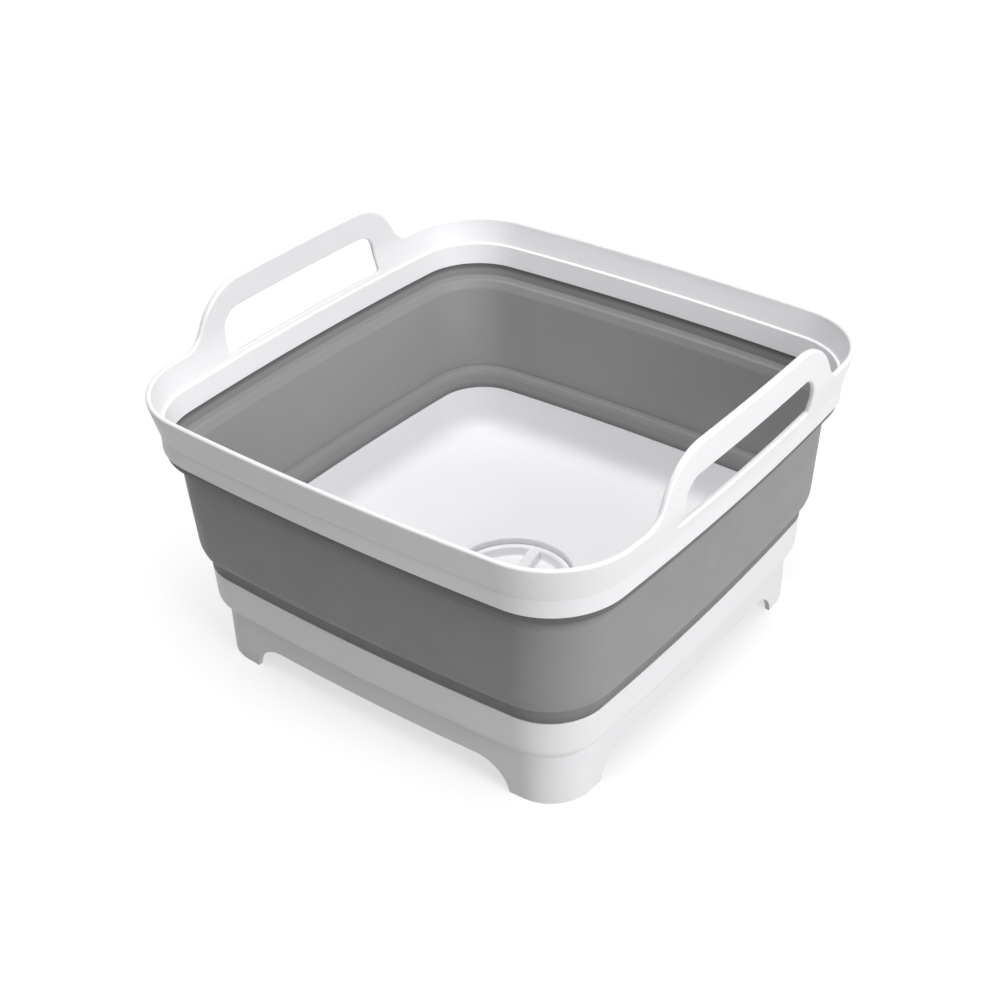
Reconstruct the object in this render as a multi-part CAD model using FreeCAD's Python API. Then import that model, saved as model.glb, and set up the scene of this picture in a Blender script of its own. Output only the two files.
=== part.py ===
import FreeCAD, Part
import math
import os

# Collapsible washing up bowl, square in plan with bowed sides, handles at the +X and -X sides.
# Millimetres, +Z up, origin on the ground below the middle of the bowl.
# A half width is measured from the middle to the outer face, at the middle of a side.

# Plan shape: the corners are rounder at the base than they would be straight below the rim
rim_width = 315.0
side_bow = 6.6
corner_radius = 50.0
base_corner_radius = 34.0

# Rim frame
rim_height = 31.4
rim_lean = 5.0
rim_wall = 4.4
rim_leg = 2.2
lip_wall = 3.0
ledge_drop = 15.6
ledge_width = 1.8
ledge_round = 0.6
band_drop = 20.0
band_relief = 0.7
band_round = 0.5
rim_edge_round = 0.4
lip_round = 1.2
lip_round_share = 0.42

# Handles, one plate with the rim, as wide as the sides between the round corners let them be
handle_rise = 31.0
handle_lean = 0.4
handle_wall = 4.4
handle_bend = 40.0
handle_margin = 19.0
handle_taper = 17.5
handle_shoulder_radius = 36.0
handle_root_radius = 14.0
slot_post = 22.5
slot_taper = 2.0
slot_bar = 18.0
slot_sill = 2.6
slot_corner_radius = 12.0
slot_floor_radius = 2.0

# Flexible wall
wall_gauge = 2.2
fold_clearance = 0.4
upper_fold_height = 10.0
panel_height = 60.0
lower_fold_height = 11.0
panel_inset = 14.3
panel_taper = 2.0
panel_curl_height = 6.5
panel_curl_inset = 2.3
panel_curl_radius = 8.0
fold_edge = 1.0
fold_inset = 0.2
fold_drop = 2.2
fold_round = 2.0
shoulder_drop = 6.0
shoulder_round = 1.5
upper_fold_lap = 1.5
lower_fold_lap = 1.5
wall_edge_round = 0.3

# Rebates inside the rim and the base that the flexible wall is moulded into
rim_lap = 2.5
base_lap = 1.5

# Base tray, and the four feet in one moulding with it
base_top = 62.0
base_inset = 0.3
base_wall = 2.6
base_leg = 1.3
base_band_inset = 1.2
base_band_rise = 7.0
base_band_radius = 7.0
skirt_lap = 3.0
skirt_inset = 5.6
foot_taper = 0.4
foot_width = 36.6
foot_wall = 3.0
foot_edge_round = 0.6
floor_level = 30.0
floor_wall = 2.6
floor_fillet = 12.0
floor_border = 14.0
arch_height = 18.3
arch_radius = 22.0
arch_crown = 1.0

# Drain well and outlet in the middle of the floor
well_radius = 37.0
well_depth = 8.4
well_wall = 1.8
well_round = 1.2
seat_width = 4.0
collar_wall = 2.6
collar_length = 9.0

# Drain plug and its seal
plug_clearance = 0.5
seal_gauge = 1.2
seal_width = 3.0
seal_edge = 0.5
seat_clearance = 0.2
flange_gauge = 3.0
flange_rim = 3.8
flange_round = 1.2
dish_draft = 1.6
dish_depth = 6.0
dish_wall = 1.8
dish_round = 2.0
hub_radius = 16.0
hub_rise = 2.2
hub_round = 18.0
cup_wall = 1.8
grip_width = 7.4
grip_round = 1.0
grip_angle = 102.0
crown_slots = 8
crown_slot_width = 9.0
crown_slot_height = 4.0

# Every cut runs this far past the faces that it goes through
overrun = 5.0

# Two faces meet in a sharp edge where the cosine of the angle between their normals is below this
sharp_share = 0.9

# Side arcs of every ring turn about these axes
rim_half = rim_width / 2
side_radius = (rim_half ** 2 + side_bow ** 2) / (2 * side_bow)
side_axis = rim_half - side_radius

# Heights, from the base up
panel_bottom = base_top + lower_fold_height
panel_top = panel_bottom + panel_height
rim_bottom = panel_top + upper_fold_height
rim_top = rim_bottom + rim_height
ledge = rim_top - ledge_drop
band = rim_top - band_drop
handle_top = rim_top + handle_rise
skirt_top = floor_level + skirt_lap
foot_height = arch_height - arch_crown

# Half widths, from the rim in to the feet
band_half = rim_half - rim_lean - band_relief
handle_root_half = rim_half - corner_radius - handle_margin
handle_top_half = handle_root_half - handle_taper
slot_bottom_half = handle_root_half - slot_post
slot_top_half = slot_bottom_half - slot_taper
panel_top_half = rim_half - panel_inset
panel_bottom_half = panel_top_half - panel_taper
lower_fold_half = panel_bottom_half - panel_curl_inset - wall_gauge - fold_clearance
base_top_half = lower_fold_half - base_inset
base_band_half = base_top_half - base_band_inset
skirt_half = base_band_half - skirt_inset
foot_half = skirt_half - foot_taper
arch_half = foot_half - foot_width

# Corner radius that the rings of a piece would have at the rim, the panel's half way between
base_turn = base_corner_radius + rim_half - base_top_half
panel_turn = (corner_radius + base_turn) / 2

# Drain seat and plug, from the floor down
outlet_radius = well_radius - seat_width
well_floor = floor_level - well_depth
collar_bottom = well_floor - collar_length
seal_bottom = well_floor + seat_clearance
flange_bottom = seal_bottom + seal_gauge
flange_top = flange_bottom + flange_gauge
flange_radius = well_radius - plug_clearance
cup_radius = outlet_radius - plug_clearance
dish_radius = flange_radius - flange_rim
dish_floor = flange_top - dish_depth


def rounded_face(corners):
    """Face in the XZ plane bounded by straight lines and tangent arcs.

    Each corner is (x, z, radius of its arc), listed in order round the outline.
    """
    count = len(corners)
    starts = []
    ends = []
    middles = []
    for index in range(count):
        x, z, radius = corners[index]
        here = FreeCAD.Vector(x, 0, z)
        before = FreeCAD.Vector(corners[index - 1][0], 0, corners[index - 1][1]) - here
        after = FreeCAD.Vector(corners[(index + 1) % count][0], 0, corners[(index + 1) % count][1]) - here
        before.normalize()
        after.normalize()
        half_turn = before.getAngle(after) / 2
        if radius == 0:
            starts.append(here)
            ends.append(here)
            middles.append(None)
            continue
        reach = radius / math.tan(half_turn)
        inward = before + after
        inward.normalize()
        starts.append(here + before * reach)
        ends.append(here + after * reach)
        middles.append(here + inward * (radius / math.sin(half_turn) - radius))
    edges = []
    for index in range(count):
        if middles[index] is not None:
            edges.append(Part.Arc(starts[index], middles[index], ends[index]).toShape())
        following = starts[(index + 1) % count]
        if ends[index].distanceToPoint(following) > Part.Precision.confusion():
            edges.append(Part.LineSegment(ends[index], following).toShape())
    return Part.Face(Part.Wire(edges))


def plan(turn):
    """Place of a corner's centre and half the angle of a side, for corners of one radius at the rim."""
    reach = side_radius - turn
    centre = (side_axis + math.sqrt(2 * reach ** 2 - side_axis ** 2)) / 2
    return centre, math.degrees(math.atan2(centre, centre - side_axis))


def ring(corners, turn):
    """Closed ring with one section all round: four bowed sides and four round corners, tangent.

    A section corner is (half width, height, radius of its arc). At the rim, the ring's round corners
    would have the radius turn.
    """
    section = rounded_face(corners)
    centre, half_angle = plan(turn)
    up = FreeCAD.Vector(0, 0, 1)
    middle = FreeCAD.Vector(0, 0, 0)
    sectors = []
    for quarter in range(4):
        side = section.copy()
        axis = FreeCAD.Vector(side_axis, 0, 0)
        side.rotate(axis, up, -half_angle)
        side = side.revolve(axis, up, 2 * half_angle)
        side.rotate(middle, up, 90 * quarter)
        corner = section.copy()
        corner.translate(FreeCAD.Vector(turn - rim_half, 0, 0))
        corner.rotate(middle, up, half_angle)
        corner = corner.revolve(middle, up, 90 - 2 * half_angle)
        corner.translate(FreeCAD.Vector(centre, centre, 0))
        corner.rotate(middle, up, 90 * quarter)
        sectors.extend([side, corner])
    return sectors[0].multiFuse(sectors[1:]).removeSplitter()


def plate(half_width, bottom, top, turn):
    """Flat plate with the plan of a ring at one half width."""
    centre, half_angle = plan(turn)
    up = FreeCAD.Vector(0, 0, 1)
    middle = FreeCAD.Vector(0, 0, 0)
    axis = FreeCAD.Vector(side_axis, 0, 0)
    edges = []
    for quarter in range(4):
        side = Part.makeCircle(half_width - side_axis, axis, up, -half_angle, half_angle)
        corner = Part.makeCircle(half_width - rim_half + turn, FreeCAD.Vector(centre, centre, 0), up,
                                 half_angle, 90 - half_angle)
        for edge in (side, corner):
            edge.rotate(middle, up, 90 * quarter)
            edges.append(edge)
    face = Part.Face(Part.Wire(Part.__sortEdges__(edges)))
    face.translate(FreeCAD.Vector(0, 0, bottom))
    return face.extrude(FreeCAD.Vector(0, 0, top - bottom))


def crosswise(corners, quarter):
    """Bar with a mirror-symmetric section, right across the bowl along X, or along Y for quarter 1.

    The corners give the right half of the section, (distance from the middle, height, radius).
    """
    mirrored = [(-x, z, radius) for x, z, radius in reversed(corners)]
    face = rounded_face(corners + mirrored)
    length = rim_width + 2 * overrun
    face.translate(FreeCAD.Vector(0, -length / 2, 0))
    bar = face.extrude(FreeCAD.Vector(0, length, 0))
    bar.rotate(FreeCAD.Vector(0, 0, 0), FreeCAD.Vector(0, 0, 1), 90 * (1 - quarter))
    return bar


def rim_outer(height):
    """Half width of the rim's leaning outer face at a height."""
    return rim_half - rim_lean * (rim_top - height) / band_drop


def rim_frame():
    """Rim ring with its inner ledge and outer step, and the two handles that rise from it."""
    handle_half = rim_half - handle_lean
    section = [
        (band_half - rim_wall, rim_bottom + rim_lap, 0),
        (band_half - rim_leg, rim_bottom + rim_lap, 0),
        (band_half - rim_leg, rim_bottom, 0),
        (band_half, rim_bottom, rim_edge_round),
        (band_half, band - band_relief, band_round),
        (rim_outer(band), band, band_round),
        (rim_half, rim_top, handle_bend),
        (handle_half, handle_top + overrun, 0),
        (handle_half - handle_wall, handle_top + overrun, 0),
        (rim_half - lip_wall, rim_top, handle_bend - lip_wall),
        (rim_outer(ledge) - lip_wall, ledge, ledge_round),
        (rim_outer(ledge) - lip_wall - ledge_width, ledge, ledge_round),
    ]
    frame = ring(section, corner_radius)
    reach = rim_half + overrun
    above = Part.makeBox(2 * reach, 2 * reach, handle_top, FreeCAD.Vector(-reach, -reach, rim_top))
    kept = crosswise([
        (handle_root_half + handle_root_radius, rim_top - overrun, 0),
        (handle_root_half + handle_root_radius, rim_top, 0),
        (handle_root_half, rim_top, handle_root_radius),
        (handle_top_half, handle_top, handle_shoulder_radius),
    ], 0)
    slot = crosswise([
        (slot_bottom_half, ledge + slot_sill, slot_floor_radius),
        (slot_top_half, handle_top - slot_bar, slot_corner_radius),
    ], 0)
    rounding = min(lip_round, lip_round_share * lip_wall)
    for removed in (slot, above.cut(kept)):
        frame = frame.cut(removed).removeSplitter()
        for outside in (True, False):
            frame = frame.makeFillet(rounding, lip_edges(frame, outside))
    return frame


def is_cap(face):
    """Whether a face tops the rim or a handle, or lines a handle's slot."""
    surface = face.Surface
    if isinstance(surface, Part.Cylinder):
        return abs(surface.Axis.x) > abs(surface.Axis.z)
    return isinstance(surface, Part.Plane) and face.BoundBox.ZMax > ledge + slot_sill / 2


def normal_at(face, point):
    """Outward normal of a face at a point on it."""
    return face.normalAt(*face.Surface.parameter(point))


def lip_edges(frame, outside):
    """Sharp edges between a cap and the walls on the outside, or on the inside, of the rim."""
    found = []
    for edge in frame.Edges:
        faces = frame.ancestorsOfType(edge, Part.Face)
        caps = [face for face in faces if is_cap(face)]
        walls = [face for face in faces if not is_cap(face)]
        if not caps or not walls:
            continue
        point = edge.valueAt((edge.FirstParameter + edge.LastParameter) / 2)
        across = normal_at(walls[0], point)
        sharp = abs(across.dot(normal_at(caps[0], point))) < sharp_share
        faces_out = across.dot(FreeCAD.Vector(point.x, point.y, 0)) > 0
        if sharp and faces_out == outside:
            found.append(edge)
    return found


def wall_upper_fold():
    """Upper crease of the flexible wall, moulded into the rim's rebate and lapped over the panel."""
    inner = panel_top_half + fold_clearance
    outer = band_half - fold_inset
    bottom = panel_top - upper_fold_lap
    return ring([
        (band_half - rim_wall, rim_bottom + rim_lap, 0),
        (band_half - rim_leg, rim_bottom + rim_lap, 0),
        (band_half - rim_leg, rim_bottom, 0),
        (outer, rim_bottom, 0),
        (outer, rim_bottom - fold_drop, fold_round),
        (inner + fold_edge, bottom, wall_edge_round),
        (inner, bottom, wall_edge_round),
        (inner, panel_top + fold_clearance, 0),
        (band_half - rim_wall, rim_bottom - shoulder_drop, shoulder_round),
    ], corner_radius)


def wall_panel():
    """Tall middle panel of the flexible wall, drawn in at its lower edge."""
    curl = panel_bottom + panel_curl_height
    low = panel_bottom_half - panel_curl_inset
    return ring([
        (low, panel_bottom, wall_edge_round),
        (panel_bottom_half, curl, panel_curl_radius),
        (panel_top_half, panel_top, wall_edge_round),
        (panel_top_half - wall_gauge, panel_top, wall_edge_round),
        (panel_bottom_half - wall_gauge, curl, panel_curl_radius),
        (low - wall_gauge, panel_bottom, wall_edge_round),
    ], panel_turn)


def wall_lower_fold():
    """Lower crease of the flexible wall, moulded into the base's rebate."""
    top = panel_bottom + lower_fold_lap
    return ring([
        (base_top_half - base_wall, base_top - base_lap, 0),
        (base_top_half - base_leg, base_top - base_lap, 0),
        (base_top_half - base_leg, base_top, 0),
        (base_top_half, base_top, 0),
        (lower_fold_half, top, wall_edge_round),
        (lower_fold_half - wall_gauge, top, wall_edge_round),
    ], base_turn)


def skirt_outer(height):
    """Half width of the outer face of the feet and of the skirt above them at a height."""
    return foot_half + foot_taper * height / skirt_top


def arch(quarter):
    """Space under the arches of two opposite sides."""
    return crosswise([
        (arch_half, -overrun, 0),
        (arch_half, arch_height, arch_radius),
    ], quarter)


def base_tray():
    """Tray with a rounded band above a skirt, open in the middle of its floor for the drain seat."""
    inner = base_band_half - base_wall
    floor_half = inner - floor_border
    under = floor_level - floor_wall
    walls = ring([
        (skirt_outer(foot_height) - foot_wall, foot_height, 0),
        (skirt_outer(foot_height), foot_height, 0),
        (skirt_half, skirt_top, 0),
        (base_band_half, skirt_top + base_band_rise, base_band_radius),
        (base_top_half, base_top, 0),
        (base_top_half - base_leg, base_top, 0),
        (base_top_half - base_leg, base_top - base_lap, 0),
        (base_top_half - base_wall, base_top - base_lap, 0),
        (inner, floor_level, floor_fillet),
        (floor_half, floor_level, 0),
        (floor_half, under, 0),
        (skirt_outer(under) - foot_wall, under, 0),
    ], base_turn)
    for quarter in range(2):
        walls = walls.cut(arch(quarter))
    hole = Part.makeCylinder(well_radius + well_wall, floor_level, FreeCAD.Vector(0, 0, under - overrun))
    return walls.fuse(plate(floor_half, under, floor_level, base_turn)).removeSplitter().cut(hole)


def feet():
    """Four corner feet under the tray, parted by the arches of the four sides."""
    skirt = ring([
        (foot_half - foot_wall, 0, 0),
        (foot_half, 0, foot_edge_round),
        (skirt_outer(foot_height), foot_height, 0),
        (skirt_outer(foot_height) - foot_wall, foot_height, 0),
    ], base_turn)
    for quarter in range(2):
        skirt = skirt.cut(arch(quarter))
    return skirt.removeSplitter().Solids


def turned(corners):
    """Solid turned about the upright axis from half a section of (radius, height, arc radius)."""
    return rounded_face(corners).revolve(FreeCAD.Vector(0, 0, 0), FreeCAD.Vector(0, 0, 1), 360)


def drain_seat():
    """Sunk seat for the plug in the middle of the floor, with a short collar below it."""
    outside = well_radius + well_wall
    collar = outlet_radius + collar_wall
    return turned([
        (outlet_radius, collar_bottom, 0),
        (collar, collar_bottom, 0),
        (collar, well_floor - well_wall, 0),
        (outside, well_floor - well_wall, 0),
        (outside, floor_level, 0),
        (well_radius, floor_level, well_round),
        (well_radius, well_floor, 0),
        (outlet_radius, well_floor, 0),
    ])


def drain_plug():
    """Plug with a rounded flange, a dish crossed by a grip bar, and a slotted crown below."""
    dish_foot = dish_radius - dish_draft
    cup_inside = cup_radius - cup_wall
    crest = (flange_radius + dish_radius) / 2
    shell = turned([
        (cup_inside, collar_bottom, 0),
        (cup_radius, collar_bottom, 0),
        (cup_radius, flange_bottom, 0),
        (flange_radius, flange_bottom, 0),
        (flange_radius, flange_top, flange_round),
        (dish_radius, flange_top, flange_round),
        (dish_foot, dish_floor, dish_round),
        (hub_radius, dish_floor, hub_round),
        (hub_radius / 2, dish_floor + hub_rise, hub_round),
        (0, dish_floor + hub_rise, 0),
        (0, dish_floor - dish_wall, 0),
        (cup_inside, dish_floor - dish_wall, 0),
    ])
    bar = Part.makeBox(2 * crest, grip_width, dish_depth, FreeCAD.Vector(-crest, -grip_width / 2, dish_floor))
    long_edges = [edge for edge in bar.Edges if edge.BoundBox.XLength > grip_width]
    bar = bar.makeFillet(grip_round, [edge for edge in long_edges if edge.BoundBox.ZMin > dish_floor])
    bar.rotate(FreeCAD.Vector(0, 0, 0), FreeCAD.Vector(0, 0, 1), grip_angle)
    within = turned([
        (0, dish_floor, 0),
        (dish_foot, dish_floor, 0),
        (dish_foot, flange_bottom, 0),
        (crest, flange_bottom, 0),
        (crest, flange_top, 0),
        (0, flange_top, 0),
    ])
    plug = shell.fuse(bar.common(within))
    for step in range(crown_slots):
        slot = Part.makeBox(cup_radius + overrun, crown_slot_width, crown_slot_height + overrun,
                            FreeCAD.Vector(0, -crown_slot_width / 2, collar_bottom - overrun))
        slot.rotate(FreeCAD.Vector(0, 0, 0), FreeCAD.Vector(0, 0, 1), 360 * step / crown_slots)
        plug = plug.cut(slot)
    return plug.removeSplitter()


def plug_seal():
    """Flat ring under the flange of the plug."""
    outer = flange_radius - seal_edge
    return turned([
        (outer - seal_width, seal_bottom, 0),
        (outer, seal_bottom, 0),
        (outer, flange_bottom, 0),
        (outer - seal_width, flange_bottom, 0),
    ])


os.makedirs("parts", exist_ok=True)
rim_frame().exportStep("parts/rim_frame.step")
wall_upper_fold().exportStep("parts/wall_upper_fold.step")
wall_panel().exportStep("parts/wall_panel.step")
wall_lower_fold().exportStep("parts/wall_lower_fold.step")
base_tray().exportStep("parts/base_tray.step")
for foot in feet():
    end = "back" if foot.CenterOfMass.y > 0 else "front"
    side = "right" if foot.CenterOfMass.x > 0 else "left"
    foot.exportStep("parts/foot_" + end + "_" + side + ".step")
drain_seat().exportStep("parts/drain_seat.step")
drain_plug().exportStep("parts/drain_plug.step")
plug_seal().exportStep("parts/plug_seal.step")
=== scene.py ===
import bpy
import numpy as np
from mathutils import Matrix, Vector


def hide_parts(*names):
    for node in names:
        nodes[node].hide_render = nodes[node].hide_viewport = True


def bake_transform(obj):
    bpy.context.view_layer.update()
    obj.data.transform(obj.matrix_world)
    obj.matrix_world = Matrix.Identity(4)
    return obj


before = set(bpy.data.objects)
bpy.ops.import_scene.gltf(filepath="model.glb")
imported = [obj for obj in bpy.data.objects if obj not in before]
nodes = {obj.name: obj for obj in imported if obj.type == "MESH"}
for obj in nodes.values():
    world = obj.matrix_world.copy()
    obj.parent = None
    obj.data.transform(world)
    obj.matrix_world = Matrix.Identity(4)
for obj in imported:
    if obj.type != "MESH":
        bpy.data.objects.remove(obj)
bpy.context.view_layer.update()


# Base tray: floor with its sunk drain seat, rounded band, skirt and four feet, moulded in white polypropylene.
# The mould leaves a fine even grain, a satin gloss and a faint cloudiness in the white.
def moulded_plastic(name, light, dark, gloss, grain):
    """Satin moulded plastic: cloudy colour, uneven gloss and a fine grain, all from Object coordinates."""
    material = bpy.data.materials.new(name)
    material.use_nodes = True
    tree = material.node_tree
    shader = tree.nodes["Principled BSDF"]
    place = tree.nodes.new("ShaderNodeTexCoord")

    def noise(scale, detail):
        node = tree.nodes.new("ShaderNodeTexNoise")
        node.inputs["Scale"].default_value = scale
        node.inputs["Detail"].default_value = detail
        tree.links.new(place.outputs["Object"], node.inputs["Vector"])
        return node.outputs["Fac"]

    def ramp(source, low, high):
        node = tree.nodes.new("ShaderNodeValToRGB")
        node.color_ramp.elements[0].position = 0.3
        node.color_ramp.elements[1].position = 0.7
        node.color_ramp.elements[0].color = (*low, 1)
        node.color_ramp.elements[1].color = (*high, 1)
        tree.links.new(source, node.inputs["Fac"])
        return node.outputs["Color"]

    tree.links.new(ramp(noise(scale=24, detail=3), dark, light), shader.inputs["Base Color"])
    uneven = noise(scale=75, detail=4)
    tree.links.new(ramp(uneven, (gloss[0],) * 3, (gloss[1],) * 3), shader.inputs["Roughness"])
    bump = tree.nodes.new("ShaderNodeBump")
    bump.inputs["Strength"].default_value = grain
    bump.inputs["Distance"].default_value = 0.0002
    tree.links.new(noise(scale=1500, detail=2), bump.inputs["Height"])
    tree.links.new(bump.outputs["Normal"], shader.inputs["Normal"])
    return material


def finish_node(name, material):
    """Gives every material slot of a CAD node one finish."""
    mesh = nodes[name].data
    for place in range(len(mesh.materials)):
        mesh.materials[place] = material


white = moulded_plastic("white_polypropylene", light=(0.905, 0.902, 0.920), dark=(0.890, 0.887, 0.905),
                        gloss=(0.38, 0.46), grain=0.08)
for piece in ("base_tray", "foot_front_left", "foot_front_right", "foot_back_left", "foot_back_right",
              "drain_seat"):
    finish_node(piece, white)


# Drain plug: a white polypropylene cup with a grip bar across its dish, which sits in the floor's well.
# Its seal is a flat grey rubber ring that is stretched over the cup and lies under the flange.
plug_white = moulded_plastic("plug_polypropylene", light=(0.905, 0.902, 0.918), dark=(0.890, 0.887, 0.903),
                             gloss=(0.32, 0.40), grain=0.06)
finish_node("drain_plug", plug_white)
seal_grey = moulded_plastic("seal_rubber", light=(0.31, 0.308, 0.312), dark=(0.29, 0.288, 0.292),
                            gloss=(0.55, 0.65), grain=0.15)
finish_node("plug_seal", seal_grey)


# Flexible wall: one ring of soft grey thermoplastic rubber, moulded into rebates of the rim and of the base.
# Its two creases let the tall panel between them turn down when the rim is pushed towards the base.
def rounded_line(corners, steps, longest):
    """Line through corners (half width, height, radius), each turned on an arc, with no step too long."""
    points = np.array(corners)[:, :2]
    radii = np.array(corners)[:, 2]
    before = points[:-2] - points[1:-1]
    after = points[2:] - points[1:-1]
    before /= np.linalg.norm(before, axis=1, keepdims=True)
    after /= np.linalg.norm(after, axis=1, keepdims=True)
    half = np.arccos(np.clip((before * after).sum(1), -1, 1)) / 2
    reach = radii[1:-1] / np.tan(half)
    share = np.linspace(0, 1, steps)[None, :, None]
    start = (points[1:-1] + before * reach[:, None])[:, None]
    end = (points[1:-1] + after * reach[:, None])[:, None]
    weight = np.sin(half)[:, None, None]
    sums = (1 - share) ** 2 + 2 * share * (1 - share) * weight + share ** 2
    arcs = ((1 - share) ** 2 * start + 2 * share * (1 - share) * weight * points[1:-1][:, None]
            + share ** 2 * end) / sums
    line = np.concatenate([points[:1], arcs.reshape(-1, 2), points[-1:]])
    gaps = np.linalg.norm(np.diff(line, axis=0), axis=1)
    line = line[np.concatenate([[True], gaps > 1e-3])]
    parts = [np.linspace(a, b, int(np.ceil(np.linalg.norm(b - a) / longest)), endpoint=False)
             for a, b in zip(line[:-1], line[1:])]
    return np.concatenate(parts + [line[-1:]])


def wall_section():
    """Closed section of the wall in mm: up the outside from the base to the rim, then back down the inside.

    Also gives how much painted shade each point gets, from 0 on the panel to about 1 in the creases and
    joints, where shade falls.
    """
    outside = rounded_line([
        (134.75, 60.55, 0), (134.75, 62.05, 0), (135.4, 62.05, 0), (135.9, 62.8, 0.4), (136.6, 71.4, 1.6),
        (139.6, 73.1, 1.2), (141.0, 77.5, 4.0), (141.3, 80.0, 8.0), (143.2, 127.5, 6.0), (143.2, 132.4, 3.5),
        (150.0, 138.2, 2.5), (150.9, 142.0, 0.7), (150.4, 142.95, 0), (149.65, 142.95, 0), (149.65, 145.45, 0),
    ], steps=7, longest=4.0)
    inside = rounded_line([
        (148.6, 145.45, 0), (147.9, 144.3, 0.4), (147.5, 137.4, 1.0), (145.6, 135.7, 0.5), (143.4, 134.9, 0.3),
        (141.8, 130.0, 2.5), (138.9, 79.5, 5.0), (138.8, 74.6, 0.4), (137.5, 73.3, 0.4), (135.6, 72.5, 1.3),
        (134.5, 69.6, 2.0), (133.9, 61.3, 0.3), (134.3, 60.55, 0),
    ], steps=7, longest=4.0)
    # Painted shade on the outside: dark in the lower crease, in the upper crease and darkest under the rim's
    # edge.
    outside_painted_shade = np.interp(outside[:, 1], [62.6, 63.4, 71.5, 73.5, 128.0, 136.0, 141.4, 142.4],
                     [1.0, 0.5, 0.45, 0.0, 0.0, 0.95, 1.0, 1.3])
    # Painted shade on the inside: dark at the shoulder bands and at the joints with the rim and the base.
    inside_painted_shade = np.interp(inside[:, 1], [61.0, 62.0, 72.0, 74.0, 76.0, 134.6, 135.4, 143.2, 144.0],
                     [1.0, 0.2, 0.1, 0.3, 0.0, 0.0, 0.3, 0.2, 1.2])
    return np.concatenate([outside, inside]), np.concatenate([outside_painted_shade, inside_painted_shade])


def ring_grid(section, turns, along_side, round_corner):
    """Section carried round the bowl's plan, a square of four shallow side arcs joined by four round corners.

    A row is the ring of one point of the section, at its half width and height. Its corners are parallel to
    corners that would have the row's turn as their radius out at the rim.
    """
    rim_half, side_bow = 0.1575, 0.0066
    side_radius = (rim_half ** 2 + side_bow ** 2) / (2 * side_bow)
    side_axis = rim_half - side_radius
    centre = (side_axis + np.sqrt(2 * (side_radius - turns) ** 2 - side_axis ** 2)) / 2
    bend = np.arctan2(centre, centre - side_axis)
    side = np.linspace(-1, 1, along_side, endpoint=False)[None, :]
    corner = np.linspace(0, 1, round_corner, endpoint=False)[None, :]
    rows = (len(section), 1)
    width, centre, bend = section[:, 0].reshape(rows), centre.reshape(rows), bend.reshape(rows)
    side_at = side_axis + (width - side_axis) * np.exp(1j * bend * side)
    corner_at = centre * (1 + 1j) + (width - rim_half + turns.reshape(rows)) * np.exp(
        1j * (bend + (np.pi / 2 - 2 * bend) * corner))
    quarter = np.hstack([side_at, corner_at])
    plan = np.hstack([quarter * turn for turn in (1, 1j, -1, -1j)])
    return np.stack([plan.real, plan.imag, np.broadcast_to(section[:, 1:], plan.shape)], axis=-1)


def close_grid(name, grid):
    """Mesh from a grid of points that closes on itself both ways, wound so that the faces point outwards."""
    rows, columns = grid.shape[:2]
    index = np.arange(rows * columns).reshape(rows, columns)
    below = np.roll(index, -1, axis=0)
    quads = np.stack([index, np.roll(index, -1, axis=1), np.roll(below, -1, axis=1), below], axis=-1)
    mesh = bpy.data.meshes.new(name)
    mesh.from_pydata(grid.reshape(-1, 3), [], quads.reshape(-1, 4))
    mesh.shade_smooth()
    piece = bpy.data.objects.new(name, mesh)
    bpy.context.scene.collection.objects.link(piece)
    return piece


def paint_shade_in_creases(material, crease_painted_shade, piece):
    """Paints shade into a piece's colour towards its creases and joints, by a value stored on each of its
    points.
    """
    # Painted shade: the colour is multiplied down towards 0.45 grey by the stored value, so creases and joints
    # look shaded.
    stored = piece.data.attributes.new("crease_painted_shade", "FLOAT", "POINT")
    stored.data.foreach_set("value", crease_painted_shade)
    tree = material.node_tree
    shader = tree.nodes["Principled BSDF"]
    plain = shader.inputs["Base Color"].links[0].from_socket
    painted_shade_amount = tree.nodes.new("ShaderNodeAttribute")
    painted_shade_amount.attribute_name = "crease_painted_shade"
    mix = tree.nodes.new("ShaderNodeMix")
    mix.data_type = "RGBA"
    mix.blend_type = "MULTIPLY"
    darkest_painted_shade = 0.45
    mix.inputs["B"].default_value = (darkest_painted_shade, darkest_painted_shade, darkest_painted_shade, 1)
    tree.links.new(painted_shade_amount.outputs["Fac"], mix.inputs["Factor"])
    tree.links.new(plain, mix.inputs["A"])
    tree.links.new(mix.outputs["Result"], shader.inputs["Base Color"])


section, crease_painted_shade = wall_section()
section = section / 1000
panel_bottom, panel_height = 0.073, 0.060
base_turn, rim_turn = 0.0555, 0.050
climb = np.clip((section[:, 1] - panel_bottom) / panel_height, 0, 1)
grid = ring_grid(section, base_turn + (rim_turn - base_turn) * climb, along_side=48, round_corner=28)
angle, height = np.arctan2(grid[..., 1], grid[..., 0]), grid[..., 2]
wave_bottom, wave_top, wave_fade, wave_depth = 0.080, 0.128, 0.02, 0.0007
slack = np.clip((height - wave_bottom) / wave_fade, 0, 1) * np.clip((wave_top - height) / wave_fade, 0, 1)
wave = slack * np.sin(5 * angle + 60 * height) * np.sin(3 * angle + 1.3)
grid[..., :2] *= 1 + wave_depth * wave[..., None]
wall = close_grid("flexible_wall", grid)
rubber = moulded_plastic("grey_rubber", light=(0.318, 0.315, 0.320), dark=(0.304, 0.301, 0.306),
                         gloss=(0.50, 0.60), grain=0.12)
rubber.node_tree.nodes["Principled BSDF"].inputs["Specular IOR Level"].default_value = 0.25
# Painted shade in the wall's creases and joints, stored on its points.
paint_shade_in_creases(rubber, np.repeat(crease_painted_shade, grid.shape[1]), wall)
wall.data.materials.append(rubber)
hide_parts("wall_upper_fold", "wall_panel", "wall_lower_fold")
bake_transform(wall)


# Rim frame: a stiff hoop of the same white polypropylene, with an inner ledge, an outer step and two handles.
# The wall is moulded into a rebate along the inside of its lower edge.
finish_node("rim_frame", white)


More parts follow.
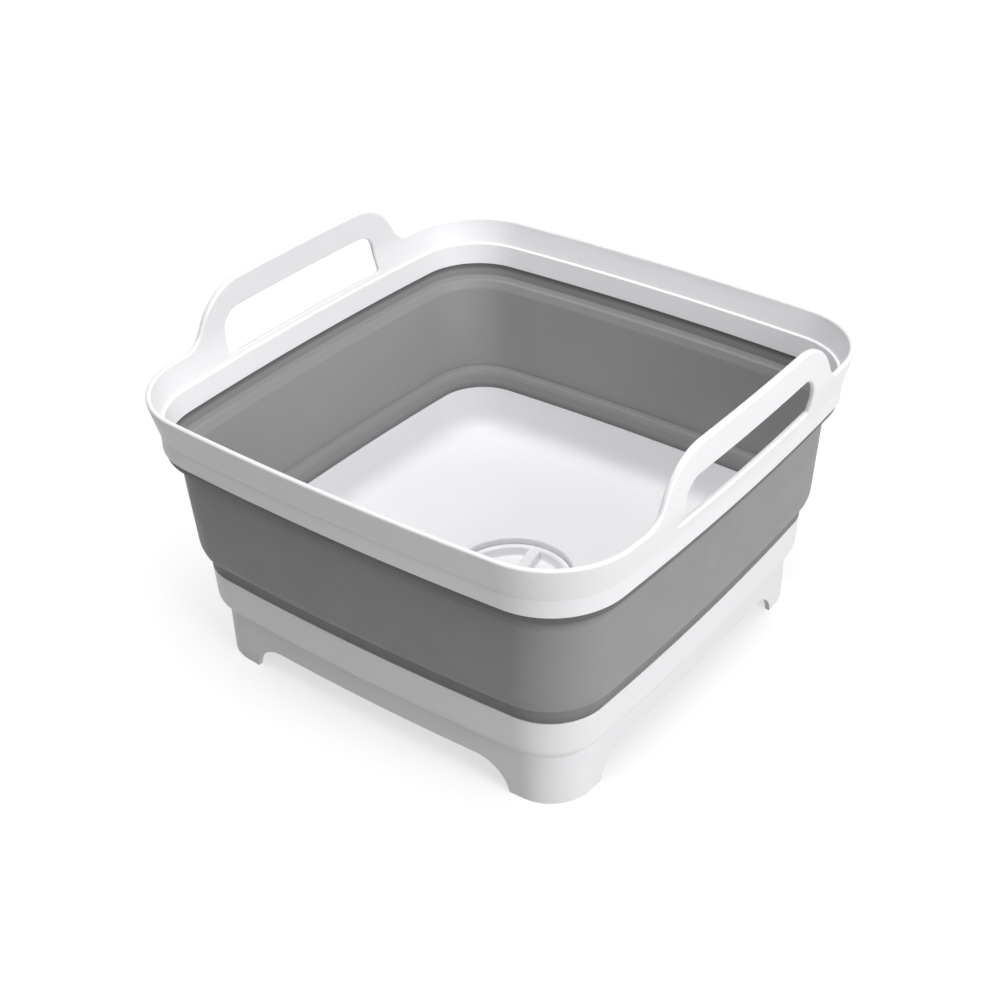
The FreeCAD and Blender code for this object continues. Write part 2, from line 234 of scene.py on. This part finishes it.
# Studio: a pale floor with the bowl's soft shadow, one large light to the right and one above.
def white_to_camera(tree, strength, extra):
    """Strength for the light's own rays, and an extra one for rays from the camera, gloss or glass."""
    path = tree.nodes.new("ShaderNodeLightPath")
    seen = path.outputs["Is Camera Ray"]
    for kind in ("Is Glossy Ray", "Is Transmission Ray"):
        either = tree.nodes.new("ShaderNodeMath")
        either.operation = "MAXIMUM"
        tree.links.new(seen, either.inputs[0])
        tree.links.new(path.outputs[kind], either.inputs[1])
        seen = either.outputs[0]
    scaled = tree.nodes.new("ShaderNodeMath")
    scaled.operation = "MULTIPLY_ADD"
    scaled.inputs[1].default_value = extra
    scaled.inputs[2].default_value = strength
    tree.links.new(seen, scaled.inputs[0])
    return scaled.outputs[0]


def pale_floor():
    """Flat sheet on the ground, grey to the light, white to the camera and whiter still away from the bowl."""
    mesh = bpy.data.meshes.new("floor")
    reach = 4
    corners = [(-reach, -reach, 0), (reach, -reach, 0), (reach, reach, 0), (-reach, reach, 0)]
    mesh.from_pydata(corners, [], [(0, 1, 2, 3)])
    floor = bpy.data.objects.new("floor", mesh)
    bpy.context.scene.collection.objects.link(floor)
    material = bpy.data.materials.new("pale_floor")
    material.use_nodes = True
    shader = material.node_tree.nodes["Principled BSDF"]
    shader.inputs["Base Color"].default_value = (0.46, 0.46, 0.46, 1)
    shader.inputs["Roughness"].default_value = 1.0
    shader.inputs["Specular IOR Level"].default_value = 0.0
    shader.inputs["Emission Color"].default_value = (1, 1, 1, 1)
    tree = material.node_tree
    place = tree.nodes.new("ShaderNodeTexCoord")
    away = tree.nodes.new("ShaderNodeVectorMath")
    away.operation = "LENGTH"
    spread = tree.nodes.new("ShaderNodeMapRange")
    for side, value in (("From Min", 0.4), ("From Max", 1.5), ("To Min", 0.66), ("To Max", 0.97)):
        spread.inputs[side].default_value = value
    glow = tree.nodes.new("ShaderNodeMath")
    glow.operation = "MULTIPLY"
    tree.links.new(place.outputs["Object"], away.inputs[0])
    tree.links.new(away.outputs["Value"], spread.inputs["Value"])
    tree.links.new(spread.outputs["Result"], glow.inputs[0])
    tree.links.new(white_to_camera(tree, strength=0.0, extra=1.0), glow.inputs[1])
    tree.links.new(glow.outputs[0], shader.inputs["Emission Strength"])
    mesh.materials.append(material)


def soft_lamp(name, place, aim, size, watts):
    """Square area lamp at a place, turned to an aim point."""
    lamp = bpy.data.lights.new(name, "AREA")
    lamp.size = size
    lamp.energy = watts
    holder = bpy.data.objects.new(name, lamp)
    bpy.context.scene.collection.objects.link(holder)
    holder.location = place
    holder.rotation_euler = (Vector(aim) - Vector(place)).to_track_quat("-Z", "Y").to_euler()


pale_floor()
soft_lamp("key", place=(2.3, -0.4, 0.95), aim=(0, 0, 0.1), size=1.2, watts=38)
soft_lamp("top", place=(0.05, -0.1, 2.2), aim=(0, 0, 0.1), size=1.8, watts=40.5)
world = bpy.data.worlds.new("studio")
bpy.context.scene.world = world
world.use_nodes = True
sky = world.node_tree.nodes["Background"]
sky.inputs["Color"].default_value = (1, 1, 1, 1)
world.node_tree.links.new(white_to_camera(world.node_tree, strength=0.12, extra=0.88), sky.inputs["Strength"])
bpy.context.scene.view_settings.view_transform = "Standard"


# Camera at the photograph's viewing angle.
def photo_camera(azimuth, elevation, distance, aim, lens, roll, shift):
    """Camera on a sphere round the aim point: azimuth from -Y towards +X, elevation above the floor."""
    camera = bpy.data.objects.new("camera", bpy.data.cameras.new("camera"))
    bpy.context.scene.collection.objects.link(camera)
    level = np.cos(elevation)
    out = Vector((np.sin(azimuth) * level, -np.cos(azimuth) * level, np.sin(elevation)))
    camera.location = Vector(aim) + distance * out
    turn = (-out).to_track_quat("-Z", "Y").to_matrix() @ Matrix.Rotation(roll, 3, "Z")
    camera.rotation_euler = turn.to_euler()
    camera.data.lens = lens
    camera.data.sensor_width = 36
    camera.data.shift_x, camera.data.shift_y = shift
    bpy.context.scene.camera = camera


photo_camera(azimuth=np.radians(35.851), elevation=np.radians(33.149), distance=0.9668,
             aim=(0.02157, 0.01071, 0.1), lens=60.39, roll=np.radians(-0.413), shift=(-0.0515, -0.0213))
